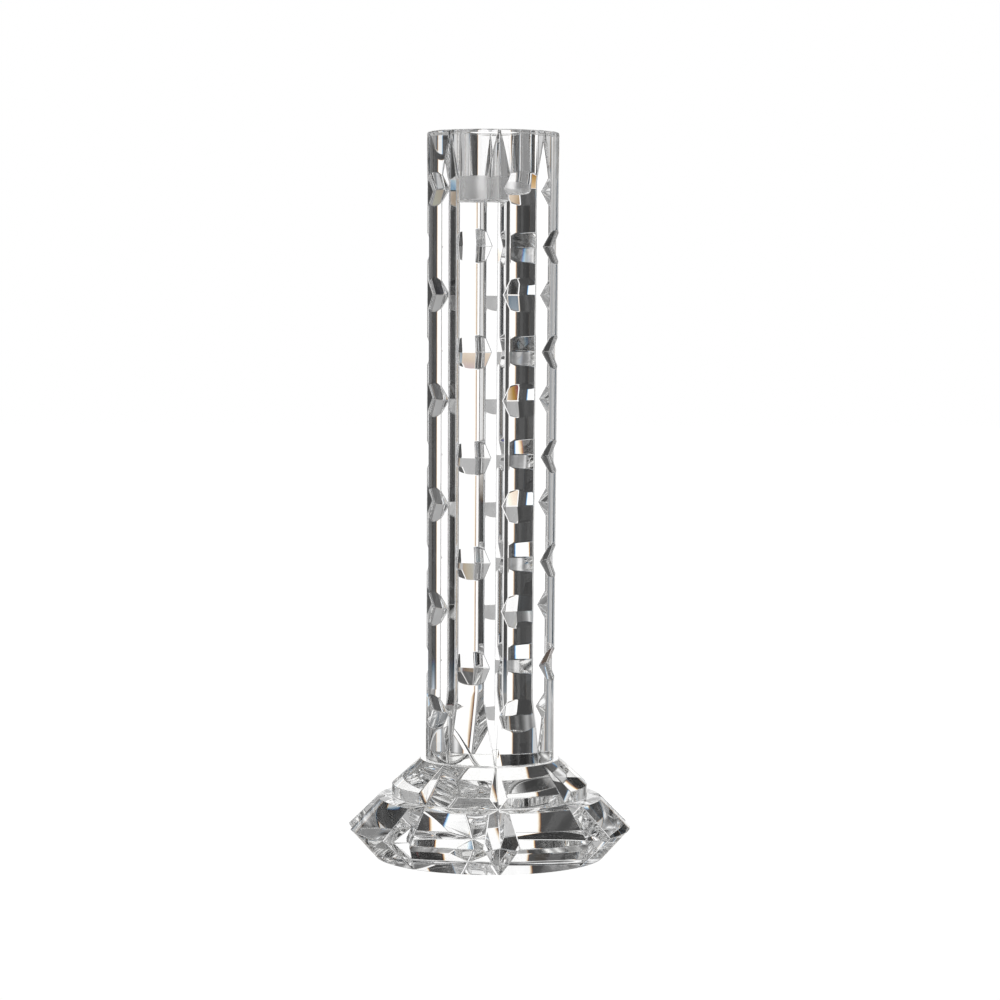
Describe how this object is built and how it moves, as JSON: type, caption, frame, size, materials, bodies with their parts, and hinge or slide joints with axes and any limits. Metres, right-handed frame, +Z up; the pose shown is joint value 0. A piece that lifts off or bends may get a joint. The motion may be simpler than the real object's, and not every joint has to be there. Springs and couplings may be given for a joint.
{
  "type": "candlestick",
  "caption": "Tall cut-glass candlestick: a round column with mitre grooves and notches and a blind candle socket, bonded on a tiered foot with radial cuts.",
  "frame": {"origin": "centre of the bottom face, on the table", "axes": "+Z up along the column's axis, towards the candle socket; a groove and the cut below it face -Y"},
  "size_m": [0.1092, 0.1092, 0.28],
  "materials": {
    "column_crystal": "clear crystal, fire-bright on the lands and polished in the cuts, with a fine-ground candle socket",
    "foot_crystal": "clear crystal, polished all over",
    "clear_adhesive": "cured optical adhesive, colourless"
  },
  "bodies": {
    "root": {"column": "column_crystal", "column_bond": "clear_adhesive", "upper_tier": "foot_crystal", "tier_bond": "clear_adhesive", "lower_tier": "foot_crystal"}
  },
  "joints": []
}
